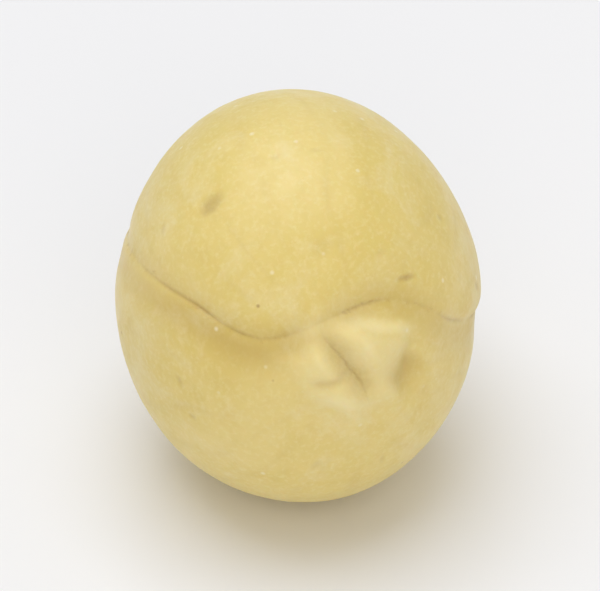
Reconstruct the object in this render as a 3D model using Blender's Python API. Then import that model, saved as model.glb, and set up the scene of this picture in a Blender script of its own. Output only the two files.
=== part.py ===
"""A whole macadamia kernel, out of its shell, lying on a small flat spot.

The kernel grew as one piece, so it is one closed solid. It is made from a UV sphere whose
rings run parallel to the seam between the two seed leaves. The rings and segments are drawn
together where the seam and the germ tip need them, then every vertex is put at the height that
the outline gives in its direction. Last, the kernel is rolled and tilted the way it lies, and
its underside is cut flat where it rests.

While it is shaped, +Z is square to the seam and -Y points at the germ tip. Units are metres,
+Z is up, and the origin is the middle of the flat spot.
"""

import math

import bmesh
import bpy
from mathutils import Matrix, Vector, noise

# Size of the kernel
WIDTH = 0.0179           # side to side, in the plane of the seam
LENGTH = 0.0180          # germ tip to blunt back end
HEIGHT = 0.0203          # through both seed leaves, square to the seam
FULLNESS = 2.1           # 2 is a plain ellipsoid, more is fuller in the shoulders
BEND = 0.0004            # top and bottom curve this far to the -X side
LEAN = 0.0005            # the top stands this far over to -X, and the bottom to +X
FLAT_RADIUS = 0.0024     # radius of the spot that it rests on

# How it lies
TILT = math.radians(17.0)    # the front of the seam is raised this far
ROLL = math.radians(16.5)    # turned about the line from back to front

# Seam between the seed leaves: a shallow crease, which climbs over the germ tip
SEAM_LATITUDE = math.radians(9.0)
SEAM_CLIMB = math.radians(14.0)
SEAM_CLIMB_LONGITUDE = math.radians(13)
SEAM_CLIMB_SPREAD = math.radians(27)
SEAM_SAG = math.radians(5.0)
SEAM_SAG_LONGITUDE = math.radians(-31)
SEAM_SAG_SPREAD = math.radians(17)
SEAM_DEPTH = 0.00010
SEAM_HALF_WIDTH = 0.00030
HOLLOW_DEPTH = 0.00014       # wide, shallow hollow just below the seam
HOLLOW_HALF_WIDTH = 0.00115
HOLLOW_DROP = 0.00075        # from the seam down to the middle of the hollow
LEAF_OFFSET = 0.00022        # the lower seed leaf grew this far to the -X side of the upper one

# Germ tip: a low round boss with a slanted slot in it and a dent beside it
GERM_LATITUDE = math.radians(2.3)
GERM_LONGITUDE = math.radians(0.0)
GERM_RADIUS = 0.0026
GERM_HEIGHT = 0.00034
SLOT_LENGTH = 0.0034
SLOT_HALF_WIDTH = 0.00052
SLOT_DEPTH = 0.00046
SLOT_SLANT = math.radians(-46)
DENT_EAST = 0.0026
DENT_RADIUS = 0.00085
DENT_DEPTH = 0.00036

# Flatter places, as longitude, latitude and spread in degrees, then depth
FLATS = (
    (180, 0, 34, 0.00045),      # blunt back end, where the kernel was joined to the shell
    (88, 46, 34, 0.00042),      # shoulder on the +X side
    (-82, -52, 34, 0.00034),    # underside on the -X side
)

# Uneven growth: slow swells over the whole surface
SWELL_HEIGHT = 0.00020
SWELL_LENGTH = 0.0085

# Mesh
SEGMENTS = 72
RINGS = 42
RING_CROWDING = 0.55       # ring spacing at the seam, as a part of even spacing
SEGMENT_CROWDING = 0.50    # how much closer the segments stand at the germ tip
RIM_BAND = 0.0006          # the cut's height is read from the surface this near its rim
SNAP = 0.00004             # a vertex this close to the flat cut is moved onto it
MERGE = 0.000001
SHARP_ANGLE = math.radians(50)

KERNEL_COLOUR = (0.80, 0.64, 0.30, 1.0)
KERNEL_ROUGHNESS = 0.55


def clear_scene():
    for item in list(bpy.data.objects):
        bpy.data.objects.remove(item, do_unlink=True)


def bell(distance, spread):
    """1 at no distance, falling away smoothly to nothing."""
    return math.exp(-(distance / spread) ** 2)


def seam_latitude(longitude):
    """Latitude of the seam at a longitude; longitude 0 faces the germ tip."""
    climb = SEAM_CLIMB * bell(longitude - SEAM_CLIMB_LONGITUDE, SEAM_CLIMB_SPREAD)
    sag = SEAM_SAG * bell(longitude - SEAM_SAG_LONGITUDE, SEAM_SAG_SPREAD)
    return SEAM_LATITUDE + climb - sag


def direction(longitude, latitude):
    """Unit vector; longitude 0 is -Y and grows towards +X."""
    level = math.cos(latitude)
    return Vector((level * math.sin(longitude), -level * math.cos(longitude), math.sin(latitude)))


def body_radius(way):
    """Distance from the middle to the plain rounded body, in the direction given."""
    level = math.hypot(way.x / (WIDTH / 2), way.y / (LENGTH / 2))
    upright = abs(way.z) / (HEIGHT / 2)
    return (level ** FULLNESS + upright ** FULLNESS) ** (-1 / FULLNESS)


def seam_relief(longitude, latitude, radius):
    """Crease along the seam, the hollow below it, and the step between the two seed leaves."""
    across = (latitude - seam_latitude(longitude)) * radius
    crease = SEAM_DEPTH * bell(across, SEAM_HALF_WIDTH)
    hollow = HOLLOW_DEPTH * bell(across + HOLLOW_DROP, HOLLOW_HALF_WIDTH)
    below = 0.5 - 0.5 * math.tanh(across / SEAM_HALF_WIDTH)
    step = -LEAF_OFFSET * below * math.sin(longitude) * math.cos(latitude) ** 2
    return step - crease - hollow


def germ_relief(longitude, latitude, radius):
    """Boss, slot and dent at the germ tip."""
    if math.cos(longitude) <= 0:
        return 0.0
    east = (longitude - GERM_LONGITUDE) * math.cos(latitude) * radius
    north = (latitude - GERM_LATITUDE) * radius
    boss = GERM_HEIGHT * math.exp(-(math.hypot(east, north) / GERM_RADIUS) ** 4)
    along = east * math.cos(SLOT_SLANT) + north * math.sin(SLOT_SLANT)
    aside = north * math.cos(SLOT_SLANT) - east * math.sin(SLOT_SLANT)
    slot = SLOT_DEPTH * bell(aside, SLOT_HALF_WIDTH) * math.exp(-(along / (SLOT_LENGTH / 2)) ** 4)
    dent = DENT_DEPTH * bell(math.hypot(east - DENT_EAST, north), DENT_RADIUS)
    return boss - slot - dent


def flat_relief(way):
    """The flatter places."""
    relief = 0.0
    for longitude, latitude, spread, depth in FLATS:
        middle = direction(math.radians(longitude), math.radians(latitude))
        away = math.acos(max(-1.0, min(1.0, way.dot(middle))))
        relief -= depth * bell(away, math.radians(spread))
    return relief


def swell(way, radius):
    """Slow, uneven swells of growth."""
    return SWELL_HEIGHT * noise.noise(way * (radius / SWELL_LENGTH) + Vector((3.1, 7.4, 1.9)))


def surface_point(longitude, latitude):
    way = direction(longitude, latitude)
    radius = body_radius(way)
    relief = seam_relief(longitude, latitude, radius)
    relief += germ_relief(longitude, latitude, radius)
    relief += flat_relief(way)
    relief += swell(way, radius)
    point = way * (radius + relief)
    height = point.z / (HEIGHT / 2)
    point.x -= BEND * height ** 2 + LEAN * height
    return point


def crowded_latitude(latitude, longitude):
    """Draw the rings together at the seam, and bend the middle ring along it."""
    share = latitude / (math.pi / 2)
    eased = RING_CROWDING * share + (1 - RING_CROWDING) * share ** 3
    return eased * math.pi / 2 + seam_latitude(longitude) * (1 - share ** 2)


def crowded_longitude(longitude):
    """Draw the segments together at the germ tip."""
    return longitude - SEGMENT_CROWDING * math.sin(longitude)


def lying_matrix():
    """Roll about the line from back to front, then raise the front."""
    return Matrix.Rotation(-TILT, 4, "X") @ Matrix.Rotation(ROLL, 4, "Y")


def cut_height(mesh):
    """Height at which a level cut leaves a spot of the radius wanted."""
    underside = [vert.co for vert in mesh.verts if vert.co.z < 0]
    lowest = min(underside, key=lambda point: point.z)
    ring = [point.z for point in underside
            if abs((point - lowest).to_2d().length - FLAT_RADIUS) < RIM_BAND]
    return sum(ring) / len(ring)


def cut_flat(mesh):
    """Cut the underside level, close it, and put the middle of the cut at the origin."""
    height = cut_height(mesh)
    everything = mesh.verts[:] + mesh.edges[:] + mesh.faces[:]
    cut = bmesh.ops.bisect_plane(mesh, geom=everything, dist=SNAP, plane_co=(0, 0, height),
                                 plane_no=(0, 0, -1), clear_outer=True, use_snap_center=True)
    rim = [item for item in cut["geom_cut"] if isinstance(item, bmesh.types.BMEdge)]
    spot = bmesh.ops.contextual_create(mesh, geom=rim)["faces"][0]
    middle = spot.calc_center_median()
    bmesh.ops.translate(mesh, verts=mesh.verts, vec=-middle)


def kernel_mesh():
    mesh = bmesh.new()
    bmesh.ops.create_uvsphere(mesh, u_segments=SEGMENTS, v_segments=RINGS, radius=1)
    for vert in mesh.verts:
        way = vert.co.normalized()
        longitude = math.atan2(way.x, -way.y)
        latitude = math.asin(max(-1.0, min(1.0, way.z)))
        placed = crowded_longitude(longitude)
        vert.co = surface_point(placed, crowded_latitude(latitude, placed))
    bmesh.ops.transform(mesh, matrix=lying_matrix(), verts=mesh.verts)
    cut_flat(mesh)
    bmesh.ops.remove_doubles(mesh, verts=mesh.verts, dist=MERGE)
    bmesh.ops.recalc_face_normals(mesh, faces=mesh.faces)
    return mesh


def kernel_material():
    material = bpy.data.materials.new("kernel_flesh")
    material.use_nodes = True
    shader = material.node_tree.nodes["Principled BSDF"]
    shader.inputs["Base Color"].default_value = KERNEL_COLOUR
    shader.inputs["Roughness"].default_value = KERNEL_ROUGHNESS
    shader.inputs["Metallic"].default_value = 0.0
    return material


def build_kernel(collection):
    mesh = kernel_mesh()
    data = bpy.data.meshes.new("kernel")
    mesh.to_mesh(data)
    mesh.free()
    data.shade_smooth()
    data.set_sharp_from_angle(angle=SHARP_ANGLE)
    data.materials.append(kernel_material())
    kernel = bpy.data.objects.new("kernel", data)
    collection.objects.link(kernel)


def main():
    clear_scene()
    collection = bpy.data.collections.new("macadamia_kernel")
    bpy.context.scene.collection.children.link(collection)
    build_kernel(collection)


main()
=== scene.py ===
# %% [markdown]
# # A shelled macadamia kernel
#
# This notebook gives one macadamia kernel its looks. A macadamia grows in a round, very hard
# brown shell. Inside is the kernel: two thick seed leaves pressed together along a seam, with
# the germ between them at one end. Its flesh is full of oil, so it is pale, waxy and soft to
# the light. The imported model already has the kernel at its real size, as a plain solid. We
# load it first, and everything after it is measured from its box.

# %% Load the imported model
import math

import bmesh
import bpy
from mathutils import Matrix, Vector, noise


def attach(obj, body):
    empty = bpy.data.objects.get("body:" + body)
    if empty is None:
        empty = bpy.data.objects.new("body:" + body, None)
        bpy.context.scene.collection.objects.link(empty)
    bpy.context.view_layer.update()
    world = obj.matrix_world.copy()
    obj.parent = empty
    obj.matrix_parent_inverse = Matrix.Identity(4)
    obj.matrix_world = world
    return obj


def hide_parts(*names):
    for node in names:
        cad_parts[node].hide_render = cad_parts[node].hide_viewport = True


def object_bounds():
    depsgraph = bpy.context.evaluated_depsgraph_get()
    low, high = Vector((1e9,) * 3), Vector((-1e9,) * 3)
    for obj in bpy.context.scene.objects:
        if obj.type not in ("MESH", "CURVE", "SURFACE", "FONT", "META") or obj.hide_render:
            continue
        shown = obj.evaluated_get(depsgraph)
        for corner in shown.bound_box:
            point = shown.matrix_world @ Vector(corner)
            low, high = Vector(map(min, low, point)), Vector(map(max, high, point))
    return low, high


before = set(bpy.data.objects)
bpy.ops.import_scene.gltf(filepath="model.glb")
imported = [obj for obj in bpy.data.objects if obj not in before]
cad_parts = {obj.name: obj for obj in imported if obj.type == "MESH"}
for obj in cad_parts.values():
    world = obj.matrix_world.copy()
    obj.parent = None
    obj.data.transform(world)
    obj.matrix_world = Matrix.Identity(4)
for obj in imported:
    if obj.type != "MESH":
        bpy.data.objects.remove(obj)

cad_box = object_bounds()
cad_size = cad_box[1] - cad_box[0]
cad_middle = (cad_box[0] + cad_box[1]) / 2
MM = 0.001
print("packed kernel, mm:", [round(side / MM, 2) for side in cad_size])

# %% [markdown]
# ## Where the camera stands
#
# Small food is usually shown from well above and from a good way off, so that it keeps its
# true outline: a camera close by would swell the nearest side. We look down at 42 degrees and
# stand a little to one side of the germ tip, more than half a metre away. The lens is worked
# out from that distance and from how much of the picture's height the kernel should fill.

# %% Camera
VIEW_ELEVATION = math.radians(42)
VIEW_AZIMUTH = math.radians(-16)
CAMERA_DISTANCE = 0.56
SENSOR_MM = 36
PICTURE_ASPECT = 600 / 591
KERNEL_SHARE = 0.70

towards_camera = Vector((math.sin(VIEW_AZIMUTH) * math.cos(VIEW_ELEVATION),
                         -math.cos(VIEW_AZIMUTH) * math.cos(VIEW_ELEVATION),
                         math.sin(VIEW_ELEVATION)))
picture_width = cad_size.z / KERNEL_SHARE * PICTURE_ASPECT

camera_data = bpy.data.cameras.new("camera")
camera_data.sensor_width = SENSOR_MM
camera_data.lens = SENSOR_MM * CAMERA_DISTANCE / picture_width
camera_data.clip_start = 0.01
camera_data.clip_end = 20
camera = bpy.data.objects.new("camera", camera_data)
bpy.context.scene.collection.objects.link(camera)
camera.location = cad_middle + towards_camera * CAMERA_DISTANCE
camera.rotation_mode = "QUATERNION"
camera.rotation_quaternion = (-towards_camera).to_track_quat("-Z", "Y")
bpy.context.scene.camera = camera
print("lens, mm:", round(camera_data.lens))

# %% [markdown]
# ## The kernel's own axes
#
# It is easiest to shape the kernel as it grew and to lay it down afterwards. As it grew, +Z is
# square to the seam and -Y points at the germ tip. A place on the surface is then a longitude,
# counted from the germ tip, and a latitude above the plane of the seam, as on a globe. `bell`
# is the one curve that nearly every mark below is made of: 1 in the middle, and fading
# smoothly to nothing.

# %% Axes and the bell curve
TILT = math.radians(17.0)     # the front of the seam is raised this far
ROLL = math.radians(16.5)     # turned about the line from back to front
lying = Matrix.Rotation(-TILT, 4, "X") @ Matrix.Rotation(ROLL, 4, "Y")


def bell(distance, spread):
    return math.exp(-(distance / spread) ** 2)


def direction(longitude, latitude):
    """Unit vector; longitude 0 is -Y and grows towards +X."""
    level = math.cos(latitude)
    return Vector((level * math.sin(longitude), -level * math.cos(longitude), math.sin(latitude)))


def angle_between(way, other):
    return math.acos(max(-1.0, min(1.0, way.dot(other))))


print("once it lies down, the germ tip faces:",
      [round(part, 2) for part in lying @ direction(0, 0)])

# %% [markdown]
# ## The line of the seam
#
# The seam runs all the way round, a little above the middle. It sags beside the germ tip and
# then climbs over it, because the germ pushes the upper seed leaf up. A slow noise makes it
# wander, as nothing that grows is ruled with a straight edge.

# %% Seam line
SEAM_LATITUDE = math.radians(9.0)
SEAM_CLIMB = math.radians(14.0)
SEAM_CLIMB_LONGITUDE = math.radians(13)
SEAM_CLIMB_SPREAD = math.radians(27)
SEAM_SAG = math.radians(5.0)
SEAM_SAG_LONGITUDE = math.radians(-31)
SEAM_SAG_SPREAD = math.radians(17)
SEAM_WANDER = math.radians(0.7)
SEAM_WANDER_RATE = 4.0


def seam_latitude(longitude):
    climb = SEAM_CLIMB * bell(longitude - SEAM_CLIMB_LONGITUDE, SEAM_CLIMB_SPREAD)
    sag = SEAM_SAG * bell(longitude - SEAM_SAG_LONGITUDE, SEAM_SAG_SPREAD)
    wander = noise.noise(direction(longitude, 0) * SEAM_WANDER_RATE)
    return SEAM_LATITUDE + climb - sag + SEAM_WANDER * wander


print("seam height over the germ tip, degrees:", round(math.degrees(seam_latitude(0)), 1))

# %% [markdown]
# ## A sphere with its rings along the seam
#
# A UV sphere is a good start here, and better than an icosphere or a cube that is blown up,
# because its rings can follow the seam. A narrow crease stays clean only where the mesh runs
# along it. We bend the middle ring on to the seam line, draw the rings together there, and
# draw the segments together at the germ tip, where the smallest shapes are.

# %% Base sphere
SEGMENTS = 416
RINGS = 232
RING_CROWDING = 0.62         # ring spacing at the seam, as a part of even spacing
SEGMENT_CROWDING = 0.45      # how much closer the segments stand at the germ tip

skin = bmesh.new()
bmesh.ops.create_uvsphere(skin, u_segments=SEGMENTS, v_segments=RINGS, radius=1)

places = []
for vert in skin.verts:
    even_longitude = math.atan2(vert.co.x, -vert.co.y)
    share = math.asin(max(-1.0, min(1.0, vert.co.z))) / (math.pi / 2)
    longitude = even_longitude - SEGMENT_CROWDING * math.sin(even_longitude)
    eased = RING_CROWDING * share + (1 - RING_CROWDING) * share ** 3
    latitude = eased * math.pi / 2 + seam_latitude(longitude) * (1 - share ** 2)
    places.append((longitude, latitude))
print("vertices in the skin:", len(places))

# %% [markdown]
# ## The plain body
#
# The plain body is a rounded block of three unequal widths: a little fuller in the shoulders
# than an ellipsoid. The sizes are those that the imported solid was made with. Two seed leaves
# never grow quite alike, so the whole body also bends and leans a little.

# %% Plain body
WIDTH = 17.9 * MM
LENGTH = 18.0 * MM
HEIGHT = 20.3 * MM
FULLNESS = 2.1       # 2 is a plain ellipsoid
BEND = 0.4 * MM      # top and bottom curve this far to the -X side
LEAN = 0.5 * MM      # the top stands this far over to -X, and the bottom to +X


def body_radius(way):
    level = math.hypot(way.x / (WIDTH / 2), way.y / (LENGTH / 2))
    upright = abs(way.z) / (HEIGHT / 2)
    return (level ** FULLNESS + upright ** FULLNESS) ** (-1 / FULLNESS)


print("radius on the shoulder, mm:", round(body_radius(direction(0, math.radians(45))) / MM, 2))

# %% [markdown]
# ## Swells and flatter places
#
# Slow swells cross the body, large ones and smaller ones. It is flatter at the blunt back end,
# on one shoulder and under one side, and shallow flats show where it lay against the inside of
# its shell. A noise makes the swells, and a bell curve pushes each flat in. Sculpting could do
# the same, but a table is easier to read and to change.

# %% Swells and flats
SWELLS = ((8.5 * MM, 0.20 * MM), (4.2 * MM, 0.050 * MM))     # length and height
SWELL_ORIGIN = Vector((3.1, 7.4, 1.9))
FLATS = (
    # longitude, latitude and spread in degrees, then depth
    (180, 0, 34, 0.45 * MM),
    (88, 46, 34, 0.42 * MM),
    (-82, -52, 34, 0.34 * MM),
    (30, 40, 16, 0.07 * MM),
    (-48, 62, 18, 0.05 * MM),
    (-58, -20, 20, 0.07 * MM),
    (30, -44, 20, 0.06 * MM),
    (128, 20, 22, 0.10 * MM),
    (-140, 34, 22, 0.09 * MM),
    (150, -34, 24, 0.10 * MM),
)

flat_marks = [(direction(math.radians(lon), math.radians(lat)), math.radians(spread), depth)
              for lon, lat, spread, depth in FLATS]


def body_relief(way, radius):
    relief = 0.0
    for length, height in SWELLS:
        relief += height * noise.noise(way * (radius / length) + SWELL_ORIGIN)
    for middle, spread, depth in flat_marks:
        relief -= depth * bell(angle_between(way, middle), spread)
    return relief


print("back end pushed in by, mm:", round(-body_relief(Vector((0, 1, 0)), LENGTH / 2) / MM, 2))

# %% [markdown]
# ## The crease
#
# The finest part of the seam is a crease, deep in some places and almost healed in others. One
# even groove would look machined, so a slow noise sets how strong it is as it runs round.

# %% Crease strength
CREASE_CHANGE_RATE = 5.5
CREASE_CHANGE = 1.3
CREASE_USUAL = 0.65
CREASE_LEAST = 0.15
CREASE_MOST = 1.2
CREASE_ORIGIN = Vector((9, 2, 5))


def crease_strength(longitude):
    wander = noise.noise(direction(longitude, 0) * CREASE_CHANGE_RATE + CREASE_ORIGIN)
    return max(CREASE_LEAST, min(CREASE_MOST, CREASE_USUAL + CREASE_CHANGE * wander))


print("crease strength every 45 degrees:",
      [round(crease_strength(math.radians(turn)), 2) for turn in range(-180, 180, 45)])

# %% [markdown]
# ## The seam's own shape
#
# Seen closely, the seam is several things at once. The upper seed leaf ends in a soft rounded
# edge. Under it lies a wide and shallow hollow that the light falls into, deepest to the left
# of the germ tip. Between them runs the crease. Last, the lower leaf stands proud on one side
# and drops back on the other. Each is a curve across the seam line, so the distance from that
# line is all that we need to know about a place.

# %% Seam relief
CREASE_DEPTH = 0.085 * MM
CREASE_HALF_WIDTH = 0.11 * MM
CREASE_HEALED = 0.5              # share of the crease that is lost over the germ
EDGE_DROP = 0.07 * MM
EDGE_REACH = 0.40 * MM
STEP_HALF_WIDTH = 0.35 * MM
HOLLOW_DEPTH = 0.14 * MM
HOLLOW_HALF_WIDTH = 1.15 * MM
HOLLOW_DROP = 0.75 * MM          # from the seam down to the middle of the hollow
HOLLOW_LIFTED = 0.6              # share of that drop that is lost over the germ
HOLLOW_DEEPEST = math.radians(-37)
HOLLOW_DEEP_SPREAD = math.radians(36)
HOLLOW_DEEP_SHARE = 1.1
LEAF_OFFSET = 0.22 * MM          # the lower leaf grew this far to the -X side of the upper one
SEAM_REACH = 4 * MM


def seam_relief(longitude, latitude, radius):
    """Returns the height, then how deep in the crease and in the hollow the place is (0 to 1)."""
    across = (latitude - seam_latitude(longitude)) * radius
    below = 0.5 - 0.5 * math.tanh(across / STEP_HALF_WIDTH)
    height = -LEAF_OFFSET * below * math.sin(longitude) * math.cos(latitude) ** 2
    if abs(across) > SEAM_REACH:
        return height, 0.0, 0.0
    edge = bell(across, EDGE_REACH)
    deepening = HOLLOW_DEEP_SHARE * bell(longitude - HOLLOW_DEEPEST, HOLLOW_DEEP_SPREAD)
    over_germ = bell(longitude - SEAM_CLIMB_LONGITUDE, SEAM_CLIMB_SPREAD)
    crease = bell(across, CREASE_HALF_WIDTH) * crease_strength(longitude)
    crease *= 1 - CREASE_HEALED * over_germ
    drop = HOLLOW_DROP * (1 - HOLLOW_LIFTED * over_germ)
    hollow = bell(across + drop, HOLLOW_HALF_WIDTH)
    height -= CREASE_DEPTH * crease + EDGE_DROP * edge
    height -= HOLLOW_DEPTH * (1 + deepening) * hollow
    return height, min(1.0, crease), hollow * (1 + deepening) / (1 + HOLLOW_DEEP_SHARE)


print("seam height left of the germ tip, mm:",
      round(seam_relief(HOLLOW_DEEPEST, seam_latitude(HOLLOW_DEEPEST), WIDTH / 2)[0] / MM, 2))

# %% [markdown]
# ## The marks at the germ tip
#
# At the germ tip a small shoot and root lie between the seed leaves. Outside, they show as a
# low pale boss with a soft slanted slot and a short branch from it, lips on both sides, a ridge
# under the seam and a dent next to it. A noise can't make these: they are few and all
# different, so a table places each by itself.

# %% Germ tip marks
GERM_LONGITUDE = math.radians(0.0)
GERM_LATITUDE = math.radians(2.3)
GERM_MARKS = (
    # kind, east and north in mm, turn in degrees, half length, half width and height in mm
    ("slot", -0.12, -0.22, -46, 1.90, 0.64, -0.46),
    ("branch", -0.80, -0.95, 10, 0.95, 0.29, -0.18),
    ("lip", -1.35, -0.25, -52, 1.00, 0.45, 0.12),
    ("lip", 0.85, 0.75, -42, 1.15, 0.48, 0.10),
    ("lip", 0.25, -1.90, -4, 1.60, 0.50, 0.12),
    ("ridge", 1.65, 1.85, -4, 1.60, 0.40, 0.08),
    ("dent", 3.10, -0.40, 60, 1.00, 1.10, -0.46),
)
print("marks at the germ tip:", len(GERM_MARKS))

# %% [markdown]
# ## The boss
#
# The boss is a low round swelling with a fairly firm rim. A bell fades too slowly for that, so
# the fifth power is used in place of the square: it stays near 1 and then drops fast. A noise
# pushes the rim in and out, because a true ellipse would look stuck on.

# %% Boss
BOSS_HEIGHT = 0.36 * MM
BOSS_MIDDLE = (0.15 * MM, -0.05 * MM)
BOSS_HALF_WIDTH = 2.9 * MM
BOSS_HALF_HEIGHT = 2.3 * MM
BOSS_UNEVENNESS = 0.35
BOSS_UNEVEN_LENGTH = 1.6 * MM


def boss_share(east, north):
    """1 on the boss and 0 off it, with an uneven rim."""
    uneven = noise.noise(Vector((east, north, 0)) / BOSS_UNEVEN_LENGTH)
    from_middle = math.hypot((east - BOSS_MIDDLE[0]) / BOSS_HALF_WIDTH,
                             (north - BOSS_MIDDLE[1]) / BOSS_HALF_HEIGHT)
    return math.exp(-(from_middle * (1 + BOSS_UNEVENNESS * uneven)) ** 5)


print("boss 2 mm east and 3 mm east:",
      [round(boss_share(east * MM, 0), 2) for east in (2, 3)])

# %% [markdown]
# ## The shape of the germ tip
#
# Each mark is a bell in its own direction, so it helps to measure distances east and north of
# the tip, and then along and across each mark. A fine crack in the floor of the slot wanders a
# little. The function also says how deep, how pale and how dented a place is, because the
# material will need to know.

# %% Germ tip relief
GERM_REACH = math.radians(50)
BOSS_PALE = 0.75
LIP_PALE = 0.95
CRACK_DEPTH = 0.09 * MM
CRACK_HALF_WIDTH = 0.08 * MM
CRACK_SWAY = 0.16 * MM
CRACK_SWAY_LENGTH = 1.6 * MM
CRACK_DEEP = 0.9
SLOT_DEEP = 0.65
BRANCH_DEEP = 0.35


def turned(east, north, turn):
    """Distances along and across a line that is turned this far from east."""
    along = east * math.cos(turn) + north * math.sin(turn)
    across = north * math.cos(turn) - east * math.sin(turn)
    return along, across


def germ_relief(longitude, latitude, radius):
    """Returns the height, then how deep in the slot, how pale and how dented (0 to 1)."""
    if abs(longitude) > GERM_REACH or abs(latitude) > GERM_REACH:
        return 0.0, 0.0, 0.0, 0.0
    east = (longitude - GERM_LONGITUDE) * math.cos(latitude) * radius
    north = (latitude - GERM_LATITUDE) * radius
    boss = boss_share(east, north)
    height = BOSS_HEIGHT * boss
    pale = BOSS_PALE * boss
    deep = 0.0
    dented = 0.0
    for kind, mark_east, mark_north, turn, half_length, half_width, rise in GERM_MARKS:
        along, across = turned(east - mark_east * MM, north - mark_north * MM, math.radians(turn))
        sway = CRACK_SWAY * noise.noise(Vector((along / CRACK_SWAY_LENGTH, mark_east, 4)))
        lengthwise = math.exp(-(along / (half_length * MM)) ** 4)
        felt = bell(across + sway, half_width * MM) * lengthwise
        height += rise * MM * felt
        if kind == "slot":
            crack = bell(across + 2 * sway, CRACK_HALF_WIDTH) * lengthwise
            height -= CRACK_DEPTH * crack
            deep = max(deep, SLOT_DEEP * felt, CRACK_DEEP * crack)
        elif kind == "branch":
            deep = max(deep, BRANCH_DEEP * felt)
        elif kind == "dent":
            pale *= 1 - felt
            dented = felt
        else:
            pale = max(pale, LIP_PALE * felt)
    return height, deep, pale, dented


print("height in the slot, mm:", round(germ_relief(0, GERM_LATITUDE, LENGTH / 2)[0] / MM, 2))

# %% [markdown]
# ## Nicks and dents
#
# A kernel is knocked about when its shell is cracked. It gets small nicks that show darker
# flesh, short scratches and soft dents. A few are listed one by one where they can be seen, and
# the rest of the surface gets a fixed scatter from a golden-angle spiral, which spreads points
# evenly over a ball and gives the same ones every time.

# %% Where the nicks are
NICKS = [
    # longitude and latitude, half length, half width and depth in mm, turn in degrees, stain
    (-59, 38, 0.70, 0.42, 0.14, 66, 0.55),
    (19, 29, 0.50, 0.16, 0.08, 8, 0.60),
    (-13, 36, 0.60, 0.42, 0.05, 55, 0.15),
    (-20, 66, 0.35, 0.12, 0.03, 20, 0.15),
    (24, -34, 0.40, 0.14, 0.04, 120, 0.20),
    (-50, -30, 0.22, 0.16, 0.05, 10, 0.35),
    (48, 44, 0.18, 0.15, 0.04, 0, 0.35),
]
SCATTERED_NICKS = 22
SCATTERED_HALF_WIDTHS = (0.10, 0.16, 0.22, 0.13, 0.19)     # these are taken in turn
SCATTERED_DEPTHS = (0.02, 0.035, 0.05)
SCATTERED_STAINS = (0.08, 0.18, 0.28, 0.38)
SCATTERED_LENGTHENING = 1.7
SCATTERED_TURN_STEP = 47.0
GOLDEN_ANGLE = math.pi * (3 - math.sqrt(5))

for number in range(SCATTERED_NICKS):
    height_share = 1 - 2 * (number + 0.5) / SCATTERED_NICKS
    around = math.degrees((number * GOLDEN_ANGLE) % (2 * math.pi) - math.pi)
    up = math.degrees(math.asin(height_share))
    half_width = SCATTERED_HALF_WIDTHS[number % len(SCATTERED_HALF_WIDTHS)]
    half_length = half_width * SCATTERED_LENGTHENING
    depth = SCATTERED_DEPTHS[number % len(SCATTERED_DEPTHS)]
    turn = number * SCATTERED_TURN_STEP
    stain = SCATTERED_STAINS[number % len(SCATTERED_STAINS)]
    NICKS.append((around, up, half_length, half_width, depth, turn, stain))
print("nicks:", len(NICKS))

# %% [markdown]
# To press a nick in, we need its own two directions on the ball: the way along it and the way
# across it. They are worked out once for each nick. After that, two dot products are enough to
# say where a place is in it, and most places are turned away by one.

# %% Nick relief
NICK_REACH = 0.97            # cosine of the angle that no nick is larger than

nick_marks = []
for lon, lat, half_length, half_width, depth, turn, stain in NICKS:
    middle = direction(math.radians(lon), math.radians(lat))
    east_way = Vector((math.cos(math.radians(lon)), math.sin(math.radians(lon)), 0))
    north_way = middle.cross(east_way)
    along_way = (east_way * math.cos(math.radians(turn))
                 + north_way * math.sin(math.radians(turn)))
    nick_marks.append((middle, along_way, middle.cross(along_way), half_length * MM,
                       half_width * MM, depth * MM, stain))


def nick_relief(way, radius):
    """Returns the height and the strength of the stain."""
    height = 0.0
    stained = 0.0
    for middle, along_way, across_way, half_length, half_width, depth, stain in nick_marks:
        if way.dot(middle) < NICK_REACH:
            continue
        along = way.dot(along_way) * radius / half_length
        across = way.dot(across_way) * radius / half_width
        felt = math.exp(-(along * along + across * across) ** 1.5)
        height -= depth * felt
        stained = max(stained, stain * felt)
    return height, stained


print("deepest nick, mm:", max(mark[5] for mark in nick_marks) / MM)

# %% [markdown]
# ## Skin
#
# The skin itself is smooth but not polished. A faint unevenness from two millimetres down to a
# third of a millimetre across covers everything, low wrinkles fan out round the germ tip, and
# faint veins run on from them over the sides, as lines of longitude would from a pole at the
# tip. All of it is only a few hundredths of a millimetre high, which is enough for soft light
# to find. A bump in the material could show it too, but a real relief is also there in the
# outline and in the mesh itself.

# %% Skin relief
UNEVEN = ((2.1 * MM, 0.022 * MM), (0.9 * MM, 0.009 * MM), (0.35 * MM, 0.0025 * MM))
UNEVEN_ORIGIN = Vector((5, 1, 8))
WRINKLES = 22
WRINKLE_HEIGHT = 0.012 * MM
WRINKLE_MIDDLE = math.radians(24)
WRINKLE_SPREAD = math.radians(9)
WRINKLE_WAVER = 2.5
WRINKLE_WAVER_RATE = 6.0
VEINS = 19
VEIN_DEPTH = 0.005 * MM
VEIN_MIDDLE = math.radians(62)
VEIN_SPREAD = math.radians(38)
VEIN_WAVER = 4.0
VEIN_WAVER_RATE = 2.4
VEIN_SHARPNESS = 6
VEIN_BREAK_RATE = 5.0
TIP = Vector((0, -1, 0))


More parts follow.
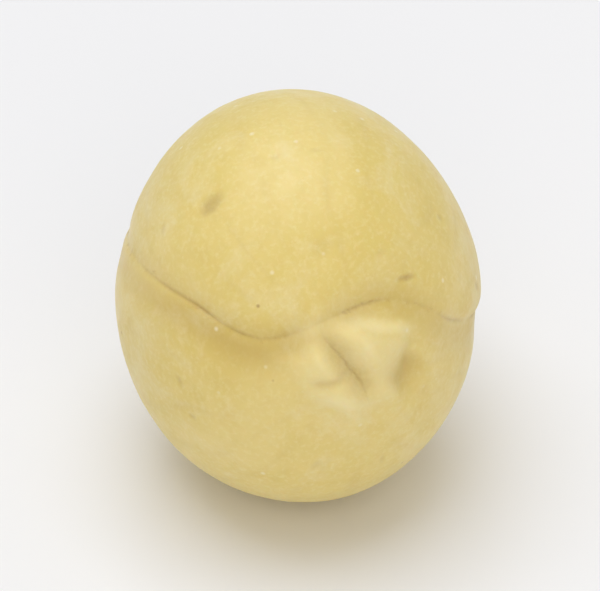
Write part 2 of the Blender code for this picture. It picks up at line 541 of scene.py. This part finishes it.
def skin_relief(way, radius):
    """Returns the height and the strength of the veins."""
    relief = 0.0
    for length, height in UNEVEN:
        relief += height * noise.noise(way * (radius / length) + UNEVEN_ORIGIN)
    from_tip = angle_between(way, TIP)
    around = math.atan2(way.z, way.x)
    fan = math.sin(around * WRINKLES + WRINKLE_WAVER * noise.noise(way * WRINKLE_WAVER_RATE))
    relief -= WRINKLE_HEIGHT * max(0.0, fan) * bell(from_tip - WRINKLE_MIDDLE, WRINKLE_SPREAD)
    lines = math.sin(around * VEINS + VEIN_WAVER * noise.noise(way * VEIN_WAVER_RATE))
    vein = max(0.0, lines) ** VEIN_SHARPNESS * bell(from_tip - VEIN_MIDDLE, VEIN_SPREAD)
    vein *= 0.5 + noise.noise(way * VEIN_BREAK_RATE)
    return relief - VEIN_DEPTH * vein, max(0.0, vein)


print("skin relief at the top, mm:", round(skin_relief(Vector((0, 0, 1)), HEIGHT / 2)[0] / MM, 3))

# %% [markdown]
# ## Shape every vertex
#
# Now all the reliefs are added up. While we are here, five numbers are kept for each vertex,
# because the material needs them: where the flesh is tan (a stain in the nicks, and painted
# shade in the crease, the slot and its branch), where it is rubbed pale (on the boss and its
# lips), where painted shade lies in the hollow under the seam and in the dent, where a vein
# runs, and where the brown papery skin is left over. That is round the scar of the back end and
# in shreds along the seam. They are attributes of the mesh, so the colours stay exactly on the
# shapes that they belong to.

# %% Move the vertices
# the next two numbers paint shade into the crease and into the slot and its branch
CREASE_PAINTED_SHADE = 0.45
DEEP_PAINTED_SHADE = 0.70
# the next number sets how much painted shade goes into the dent next to the germ tip
DENT_PAINTED_SHADE = 0.9
SCAR_SPREAD = math.radians(15)
SHREDS_HALF_WIDTH = 0.8 * MM
SHREDS_SHARE = 0.55
BACK_END = Vector((0, 1, 0))

tan_and_painted_shade_layer = skin.verts.layers.float.new("tan_and_painted_shade")
rubbed_layer = skin.verts.layers.float.new("rubbed")
painted_shade_layer = skin.verts.layers.float.new("painted_shade")
vein_layer = skin.verts.layers.float.new("vein")
papery_layer = skin.verts.layers.float.new("papery")

for vert, (longitude, latitude) in zip(skin.verts, places):
    way = direction(longitude, latitude)
    radius = body_radius(way)
    seam_height, crease, hollow = seam_relief(longitude, latitude, radius)
    germ_height, deep, pale, dented = germ_relief(longitude, latitude, radius)
    nick_height, nicked = nick_relief(way, radius)
    skin_height, vein = skin_relief(way, radius)
    relief = body_relief(way, radius) + seam_height + germ_height + nick_height + skin_height
    point = way * (radius + relief)
    height = point.z / (HEIGHT / 2)
    point.x -= BEND * height ** 2 + LEAN * height
    vert.co = point
    # painted shade in the crease, the slot and its branch, and a tan stain in the nicks
    vert[tan_and_painted_shade_layer] = max(CREASE_PAINTED_SHADE * crease, DEEP_PAINTED_SHADE * deep, nicked)
    vert[rubbed_layer] = pale * (1 - deep)
    # painted shade in the hollow under the seam and in the dent
    vert[painted_shade_layer] = max(hollow * (1 - pale), DENT_PAINTED_SHADE * dented)
    vert[vein_layer] = vein
    scar = bell(angle_between(way, BACK_END), SCAR_SPREAD)
    shreds = SHREDS_SHARE * bell((latitude - seam_latitude(longitude)) * radius, SHREDS_HALF_WIDTH)
    vert[papery_layer] = max(scar, shreds * (1 - pale))

bmesh.ops.transform(skin, matrix=lying, verts=skin.verts)
print("vertices tanned by more than a quarter:",
      sum(vert[tan_and_painted_shade_layer] > 0.25 for vert in skin.verts))

# %% [markdown]
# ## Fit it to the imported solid
#
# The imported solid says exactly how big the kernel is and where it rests. Each relief above
# changes the size of the fine skin by a hair, so its sizes can't simply be set beforehand. It is
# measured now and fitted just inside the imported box: same middle, same top, a little smaller.

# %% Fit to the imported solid
CLEARANCE = 0.02 * MM


def mesh_box(mesh):
    lowest = Vector(min(vert.co[axis] for vert in mesh.verts) for axis in range(3))
    highest = Vector(max(vert.co[axis] for vert in mesh.verts) for axis in range(3))
    return lowest, highest


low, high = mesh_box(skin)
fit = min((cad_size.x - 2 * CLEARANCE) / (high.x - low.x),
          (cad_size.y - 2 * CLEARANCE) / (high.y - low.y))
bmesh.ops.scale(skin, vec=Vector((fit, fit, fit)), verts=skin.verts)
low, high = mesh_box(skin)
move = Vector((cad_middle.x - (low.x + high.x) / 2,
               cad_middle.y - (low.y + high.y) / 2,
               cad_box[1].z - CLEARANCE - high.z))
bmesh.ops.translate(skin, vec=move, verts=skin.verts)
print("fitted by a factor of", round(fit, 4))

# %% [markdown]
# ## Cut the rest spot
#
# A kernel settles on a slightly flattened place and doesn't roll away. Pushing the lowest
# vertices up would flatten it too, but leaves a ragged rim. `bisect_plane` cuts the underside
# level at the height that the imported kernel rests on, and one face closes the cut. That face has
# many sides, so it is split into triangles, which shade cleanly.

# %% Rest spot
CUT_SNAP = 0.005 * MM        # a vertex this close to the cut is moved on to it

everything = skin.verts[:] + skin.edges[:] + skin.faces[:]
cut = bmesh.ops.bisect_plane(skin, geom=everything, dist=CUT_SNAP,
                             plane_co=(0, 0, cad_box[0].z), plane_no=(0, 0, -1),
                             clear_outer=True, use_snap_center=True)
rim = [item for item in cut["geom_cut"] if isinstance(item, bmesh.types.BMEdge)]
spot = bmesh.ops.contextual_create(skin, geom=rim)["faces"]
bmesh.ops.triangulate(skin, faces=spot)
bmesh.ops.recalc_face_normals(skin, faces=skin.faces)
print("the rest spot has", len(rim), "sides")

# %% [markdown]
# ## Make the piece
#
# The mesh is now in its final place, so its object stays at the origin, unturned and unscaled.
# It stands for the plain packed kernel, which is hidden and kept for collisions.

# %% The kernel as a piece
kernel_data = bpy.data.meshes.new("kernel_flesh")
skin.to_mesh(kernel_data)
skin.free()
kernel_data.shade_smooth()
kernel = bpy.data.objects.new("kernel_flesh", kernel_data)
bpy.context.scene.collection.objects.link(kernel)

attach(kernel, "root")
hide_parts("kernel")
print("triangles:", sum(len(face.vertices) - 2 for face in kernel_data.polygons))

# %% [markdown]
# ## Tools for materials
#
# Three small helpers are enough for the materials. `linear` turns an sRGB hex colour, the kind
# that a colour picker gives, into the linear numbers that a shader works with. `per_mm` turns a
# real size into a texture scale, because Object coordinates are in metres. `add_node` adds one
# node, sets it up and links the nodes that feed it.

# %% Material helpers
FACTOR, FIRST, SECOND, MIXED = 0, 6, 7, 2     # a colour Mix node's sockets, by number


def linear(hex_colour):
    channels = [int(hex_colour[start:start + 2], 16) / 255 for start in (1, 3, 5)]
    return [c / 12.92 if c <= 0.04045 else ((c + 0.055) / 1.055) ** 2.4 for c in channels] + [1.0]


def per_mm(size_mm):
    return 1 / (size_mm * MM)


def add_node(tree, kind, inputs=None, **settings):
    """A value that is a (node, output) pair becomes a link; anything else is set on the socket."""
    made = tree.nodes.new(kind)
    for name, value in settings.items():
        setattr(made, name, value)
    for socket, value in (inputs or {}).items():
        if isinstance(value, tuple) and isinstance(value[0], bpy.types.Node):
            tree.links.new(value[0].outputs[value[1]], made.inputs[socket])
        else:
            made.inputs[socket].default_value = value
    return made


print("texture scale for a pattern of 1 mm:", round(per_mm(1)))

# %% [markdown]
# ## Macadamia flesh
#
# Raw macadamia flesh is about three quarters oil. That gives it a cream colour with a warm
# yellow in it, a soft waxy sheen without a hard highlight, and light that soaks in a little
# way before it comes back, which softens every shadow edge. Its surface is as it grew, pressed
# smooth against the shell. The patterns are laid out in Object coordinates, centred on the
# kernel by a Mapping node, so they pass through the flesh as the real ones do and have no seam.

# %% Flesh: the material and its coordinates
PATTERN_SHIFT = Vector((7, 3, -4)) * MM      # picks which part of the endless patterns is used

flesh = bpy.data.materials.new("macadamia_flesh_raw")
flesh.use_nodes = True
tree = flesh.node_tree
shader = tree.nodes["Principled BSDF"]

coordinates = add_node(tree, "ShaderNodeTexCoord")
centred = add_node(tree, "ShaderNodeMapping",
                   {"Vector": (coordinates, "Object"), "Location": PATTERN_SHIFT - cad_middle})
place = (centred, "Vector")
print("material:", flesh.name)

# %% [markdown]
# ### Slow patches
#
# The colour is never even. The slowest change is between straw and cream, in patches a few
# millimetres across, where the leaf grew faster or slower. They could be painted, but a noise
# with a soft step needs no image, and its patches melt into each other.

# %% Flesh: slow patches
CREAM = "#e9d488"
STRAW = "#e3cd7a"
PATCH_MM = 6.0

patches = add_node(tree, "ShaderNodeTexNoise",
                   {"Vector": place, "Scale": per_mm(PATCH_MM), "Detail": 3.0,
                    "Roughness": 0.5, "Distortion": 0.5})
patch_share = add_node(tree, "ShaderNodeMapRange",
                       {"Value": (patches, "Fac"), "From Min": 0.36, "From Max": 0.64},
                       interpolation_type="SMOOTHSTEP")
patched = add_node(tree, "ShaderNodeMix",
                   {FACTOR: (patch_share, "Result"), FIRST: linear(CREAM), SECOND: linear(STRAW)},
                   data_type="RGBA")
print("patches, mm:", PATCH_MM)

# %% [markdown]
# ### Mottle and grain
#
# On the patches lies a darker mottle of about a millimetre, and a light grain. The real grain
# is that of the cells that store the oil, each about a twentieth of a millimetre. That is too
# fine to show, so the grain is drawn about five times as coarse.

# %% Flesh: mottle and grain
MOTTLE_LIGHT = "#f2e4a8"
MOTTLE_DARK = "#dac070"
MOTTLE_MM = 1.1
GRAIN_MM = 0.26

mottle = add_node(tree, "ShaderNodeTexNoise",
                  {"Vector": place, "Scale": per_mm(MOTTLE_MM), "Detail": 5.0, "Roughness": 0.62,
                   "Distortion": 0.3})
dark_share = add_node(tree, "ShaderNodeMapRange",
                      {"Value": (mottle, "Fac"), "From Min": 0.50, "From Max": 0.75,
                       "To Max": 0.30})
mottled = add_node(tree, "ShaderNodeMix",
                   {FACTOR: (dark_share, "Result"), FIRST: (patched, MIXED),
                    SECOND: linear(MOTTLE_DARK)}, data_type="RGBA")

grain = add_node(tree, "ShaderNodeTexNoise",
                 {"Vector": place, "Scale": per_mm(GRAIN_MM), "Detail": 2.0, "Roughness": 0.6})
grain_share = add_node(tree, "ShaderNodeMapRange",
                       {"Value": (grain, "Fac"), "From Min": 0.48, "From Max": 0.72,
                        "To Max": 0.32})
grained = add_node(tree, "ShaderNodeMix",
                   {FACTOR: (grain_share, "Result"), FIRST: (mottled, MIXED),
                    SECOND: linear(MOTTLE_LIGHT)}, data_type="RGBA")
print("mottle and grain, mm:", MOTTLE_MM, GRAIN_MM)

# %% [markdown]
# ### Painted shade, veins and boss
#
# The marks that belong to the shape come next. They read the attributes that were kept on the
# mesh: painted shade of a deeper yellow lies in the hollow under the seam and in the dent by
# the germ tip, the veins are a little darker than the flesh, and the boss and its lips are
# rubbed paler.

# %% Flesh: hollow, veins and boss
# the first colour is painted shade for the hollow under the seam and the dent
PAINTED_SHADE = "#c8a957"
VEIN = "#cfb469"
RUBBED = "#f3e4aa"
PAINTED_SHADE_SHARE = 0.6
VEIN_SHARE = 0.22
RUBBED_SHARE = 0.8

coloured = grained
for attribute, colour, most in (("painted_shade", PAINTED_SHADE, PAINTED_SHADE_SHARE),
                                ("vein", VEIN, VEIN_SHARE),
                                ("rubbed", RUBBED, RUBBED_SHARE)):
    kept = add_node(tree, "ShaderNodeAttribute", attribute_name=attribute)
    kept_share = add_node(tree, "ShaderNodeMath", {0: (kept, "Fac"), 1: most},
                          operation="MULTIPLY")
    coloured = add_node(tree, "ShaderNodeMix",
                        {FACTOR: (kept_share, "Value"), FIRST: (coloured, MIXED),
                         SECOND: linear(colour)}, data_type="RGBA")
print("nodes so far:", len(tree.nodes))

# %% [markdown]
# ### Tan and painted shade
#
# Cut or cracked flesh turns tan in the air, so the nicks are tan. The crease, the slot and its
# branch get the same tan as painted shade, which makes them darker than their shallow depth does
# under the soft light. A noise breaks the tan up, so that it ends raggedly, as a real stain does.

# %% Flesh: tan
TAN_AND_PAINTED_SHADE = "#b08f4d"
RAGGED_MM = 0.45

tan_and_painted_shade = add_node(tree, "ShaderNodeAttribute", attribute_name="tan_and_painted_shade")
ragged = add_node(tree, "ShaderNodeTexNoise",
                  {"Vector": place, "Scale": per_mm(RAGGED_MM), "Detail": 4.0, "Roughness": 0.7})
ragged_share = add_node(tree, "ShaderNodeMapRange",
                        {"Value": (ragged, "Fac"), "From Min": 0.3, "From Max": 0.7,
                         "To Min": 0.55, "To Max": 1.0})
tan_and_shade_share = add_node(tree, "ShaderNodeMath", {0: (tan_and_painted_shade, "Fac"), 1: (ragged_share, "Result")},
                     operation="MULTIPLY")
# this mix paints the tan: a real stain in the nicks, painted shade in the crease and the slot
stained = add_node(tree, "ShaderNodeMix",
                   {FACTOR: (tan_and_shade_share, "Value"), FIRST: (coloured, MIXED),
                    SECOND: linear(TAN_AND_PAINTED_SHADE)}, data_type="RGBA")
print("ragged edge of the tan, mm:", RAGGED_MM)

# %% [markdown]
# ### Shreds of papery skin
#
# Shreds of the brown papery skin that lined the shell stay on at the back end and along the
# seam. The attribute says how likely they are at a place, and a noise decides where they are:
# the noise is added to the likelihood, and only the highest sums show.

# %% Flesh: shreds of papery skin
PAPERY = "#b68d52"
SHRED_MM = 0.7

papery = add_node(tree, "ShaderNodeAttribute", attribute_name="papery")
shred_noise = add_node(tree, "ShaderNodeTexNoise",
                       {"Vector": place, "Scale": per_mm(SHRED_MM), "Detail": 6.0,
                        "Roughness": 0.72, "Distortion": 0.8})
shred_sum = add_node(tree, "ShaderNodeMath", {0: (papery, "Fac"), 1: (shred_noise, "Fac")},
                     operation="ADD")
shred_share = add_node(tree, "ShaderNodeMapRange",
                       {"Value": (shred_sum, "Value"), "From Min": 1.10, "From Max": 1.35,
                        "To Max": 0.75})
shredded = add_node(tree, "ShaderNodeMix",
                    {FACTOR: (shred_share, "Result"), FIRST: (stained, MIXED),
                     SECOND: linear(PAPERY)}, data_type="RGBA")
print("shreds, mm:", SHRED_MM)

# %% [markdown]
# ### Bloom
#
# Where the oil has dried back a little, the skin looks paler and chalky. It does so in drifts
# with feathered edges, for which a noise with a lot of detail is right.

# %% Flesh: bloom
BLOOM = "#f5edcb"
BLOOM_MM = 3.2

bloom = add_node(tree, "ShaderNodeTexNoise",
                 {"Vector": place, "Scale": per_mm(BLOOM_MM), "Detail": 7.0, "Roughness": 0.68,
                  "Distortion": 0.6})
bloom_share = add_node(tree, "ShaderNodeMapRange",
                       {"Value": (bloom, "Fac"), "From Min": 0.50, "From Max": 0.78,
                        "To Max": 0.34})
bloomed = add_node(tree, "ShaderNodeMix",
                   {FACTOR: (bloom_share, "Result"), FIRST: (shredded, MIXED),
                    SECOND: linear(BLOOM)}, data_type="RGBA")
print("drifts of bloom, mm:", BLOOM_MM)

# %% [markdown]
# ### Specks and dust
#
# Last come the small things that lie on the skin: a few tan specks of shell and pale crumbs of
# nut dust. A Voronoi texture scatters one point in each cell, and a limit on the distance turns
# the points into dots. Its cell colour is a random number for each cell, so a limit on that
# leaves most cells empty. Specks and dust differ only in their numbers, so one loop makes both.

# %% Flesh: specks and dust
SPECK = "#b2935a"
DUST = "#fbf5dd"
SPECK_SPACING_MM = 1.7
DUST_SPACING_MM = 1.1

dotted = bloomed
for colour, spacing, core, edge, strength, channel, limit in (
        (SPECK, SPECK_SPACING_MM, 0.02, 0.075, 0.9, "Red", 0.86),
        (DUST, DUST_SPACING_MM, 0.03, 0.14, 0.5, "Green", 0.72)):
    cells = add_node(tree, "ShaderNodeTexVoronoi",
                     {"Vector": place, "Scale": per_mm(spacing), "Randomness": 1.0})
    disc = add_node(tree, "ShaderNodeMapRange",
                    {"Value": (cells, "Distance"), "From Min": core, "From Max": edge,
                     "To Min": strength, "To Max": 0.0})
    cell_colour = add_node(tree, "ShaderNodeSeparateColor", {"Color": (cells, "Color")})
    chosen = add_node(tree, "ShaderNodeMath", {0: (cell_colour, channel), 1: limit},
                      operation="GREATER_THAN")
    dot_share = add_node(tree, "ShaderNodeMath", {0: (disc, "Result"), 1: (chosen, "Value")},
                         operation="MULTIPLY")
    dotted = add_node(tree, "ShaderNodeMix",
                      {FACTOR: (dot_share, "Value"), FIRST: (dotted, MIXED),
                       SECOND: linear(colour)}, data_type="RGBA")
tree.links.new(dotted.outputs[MIXED], shader.inputs["Base Color"])
print("nodes for the colour:", len(tree.nodes))

# %% [markdown]
# ### Gloss and fine relief
#
# The gloss is a broad, waxy one. It changes a little over the skin, because the oil comes out
# in patches and the dust dulls it. The finest relief, too small for the mesh, is left to a Bump
# node that reads the same mottle and grain as the colour.

# %% Flesh: gloss and fine relief
OILY, DULL = 0.34, 0.52
BUMP_HEIGHT = 0.02 * MM
BUMP_STRENGTH = 0.6
GRAIN_IN_BUMP = 0.6

gloss = add_node(tree, "ShaderNodeMapRange",
                 {"Value": (mottle, "Fac"), "From Min": 0.35, "From Max": 0.65,
                  "To Min": OILY, "To Max": DULL})
tree.links.new(gloss.outputs["Result"], shader.inputs["Roughness"])

fine_relief = add_node(tree, "ShaderNodeMath", {0: (grain, "Fac"), 1: GRAIN_IN_BUMP},
                       operation="MULTIPLY")
relief_sum = add_node(tree, "ShaderNodeMath", {0: (fine_relief, "Value"), 1: (mottle, "Fac")},
                      operation="ADD")
bump = add_node(tree, "ShaderNodeBump", {"Height": (relief_sum, "Value"),
                                         "Strength": BUMP_STRENGTH, "Distance": BUMP_HEIGHT})
tree.links.new(bump.outputs["Normal"], shader.inputs["Normal"])
print("roughness from", OILY, "to", DULL)

# %% [markdown]
# ### Light that soaks in
#
# Light enters the oily flesh and comes out again warmer, which is what subsurface scattering
# does: the radius is longest for red. The refraction is that of macadamia oil. All of these are
# the same over the whole kernel, so they are set on the shader itself.

# %% Flesh: light that soaks in
OIL_IOR = 1.46
SOAK_DEPTH = 0.9 * MM
SOAK_SHARE = 0.35
SOAK_COLOURS = (1.0, 0.62, 0.25)     # red goes deepest, blue the least
DUSTY_SHEEN = 0.06

shader.inputs["IOR"].default_value = OIL_IOR
shader.inputs["Specular IOR Level"].default_value = 0.5
shader.inputs["Subsurface Weight"].default_value = SOAK_SHARE
shader.inputs["Subsurface Radius"].default_value = SOAK_COLOURS
shader.inputs["Subsurface Scale"].default_value = SOAK_DEPTH
shader.inputs["Sheen Weight"].default_value = DUSTY_SHEEN
shader.inputs["Sheen Roughness"].default_value = 0.5

kernel_data.materials.append(flesh)
print("nodes in the flesh:", len(tree.nodes))

# %% [markdown]
# ## Floor
#
# The kernel lies on a plain pale floor, which is not part of it and only has to be wider than
# the picture. It is white porcelain, fired with a glaze that is almost matt: that gives even
# white, soft shadows and no mirror image of the kernel.

# %% Floor
FLOOR_HALF_SIDE = 1.5
FLOOR_COLOUR = "#f1f1f2"
GLAZE_ROUGHNESS = 0.5

floor_mesh = bmesh.new()
bmesh.ops.create_grid(floor_mesh, x_segments=1, y_segments=1, size=FLOOR_HALF_SIDE)
floor_data = bpy.data.meshes.new("floor")
floor_mesh.to_mesh(floor_data)
floor_mesh.free()
floor = bpy.data.objects.new("floor", floor_data)
bpy.context.scene.collection.objects.link(floor)
floor.location.z = cad_box[0].z

glazed = bpy.data.materials.new("glazed_white_porcelain")
glazed.use_nodes = True
glaze_shader = glazed.node_tree.nodes["Principled BSDF"]
glaze_shader.inputs["Base Color"].default_value = linear(FLOOR_COLOUR)
glaze_shader.inputs["Roughness"].default_value = GLAZE_ROUGHNESS
floor_data.materials.append(glazed)
print("floor, m:", 2 * FLOOR_HALF_SIDE, "square")

# %% [markdown]
# ## Light
#
# The light is that of a bright room with a large soft source overhead: a wide area light gives
# soft shadow edges, a second one fills from the front, and a pale world lifts all the shadows.
# The window is a little cool and the room a little warm, so that the tops are crisp and the
# shadows mellow.

# %% Light
LIGHT_SIDE = 0.7
WINDOW_COLOUR = "#ebf2ff"
FILL_COLOUR = "#fff8ec"
ROOM_COLOUR = "#fffaf1"
ROOM_STRENGTH = 0.52


def add_area_light(name, from_where, power, colour):
    data = bpy.data.lights.new(name, "AREA")
    data.size = LIGHT_SIDE
    data.energy = power
    data.color = linear(colour)[:3]
    light = bpy.data.objects.new(name, data)
    bpy.context.scene.collection.objects.link(light)
    light.location = cad_middle + Vector(from_where)
    light.rotation_mode = "QUATERNION"
    light.rotation_quaternion = (-Vector(from_where)).to_track_quat("-Z", "Y")
    print(name, "light, W:", power)


add_area_light("window", (-0.06, 0.12, 0.80), 4.1, WINDOW_COLOUR)
add_area_light("fill", (-0.10, -0.70, 0.50), 1.6, FILL_COLOUR)

world = bpy.data.worlds.new("room")
world.use_nodes = True
background = world.node_tree.nodes["Background"]
background.inputs["Color"].default_value = linear(ROOM_COLOUR)
background.inputs["Strength"].default_value = ROOM_STRENGTH
bpy.context.scene.world = world
bpy.context.scene.view_settings.view_transform = "Standard"
